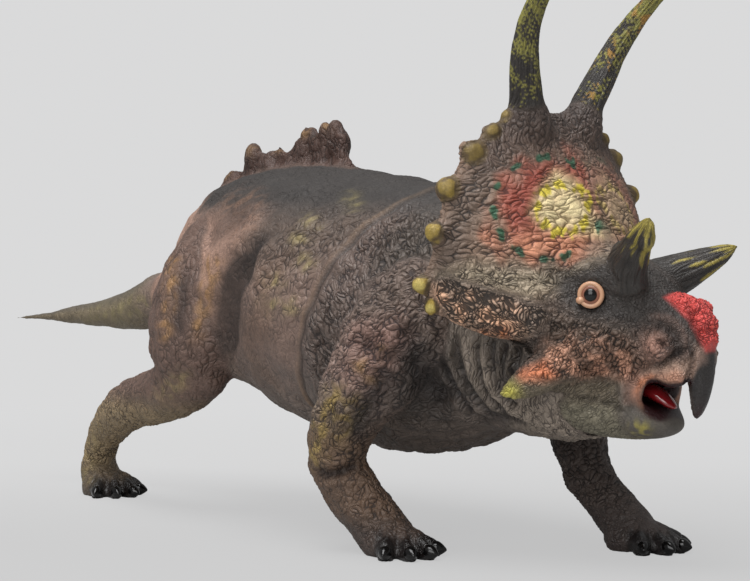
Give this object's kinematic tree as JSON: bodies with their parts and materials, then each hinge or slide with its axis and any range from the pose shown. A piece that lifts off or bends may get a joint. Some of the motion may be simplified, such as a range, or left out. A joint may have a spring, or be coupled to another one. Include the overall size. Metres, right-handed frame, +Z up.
{
  "type": "toy dinosaur figure",
  "caption": "Moulded horned dinosaur figure walking with its mouth open: hollow two-part trunk, plugged legs, tail, back crest and head with frill and horns.",
  "frame": {"origin": "bottom centre of the figure's bounding box, on the surface that its soles stand on", "axes": "+X towards the snout, along the spine; +Y to the animal's left; +Z up"},
  "size_m": [0.1948, 0.057, 0.0987],
  "materials": {
    "skin": "painted soft vinyl, dark brown with ochre dry-brushed relief",
    "crest": "painted soft vinyl, reddish brown",
    "horn": "painted vinyl, charcoal with yellow-green streaks",
    "eye": "painted eye under gloss varnish",
    "mouth": "gloss red paint"
  },
  "bodies": {
    "root": {"front_trunk": "skin", "rear_trunk": "skin", "tail": "skin", "back_crest": "crest", "right_foreleg": "skin", "left_foreleg": "skin", "right_hindleg": "skin", "left_hindleg": "skin", "head": "skin", "lower_jaw": "skin", "tongue": "mouth", "left_eye": "eye", "right_eye": "eye", "left_frill_horn": "horn", "right_frill_horn": "horn", "left_brow_horn": "horn", "right_brow_horn": "horn"}
  },
  "joints": []
}
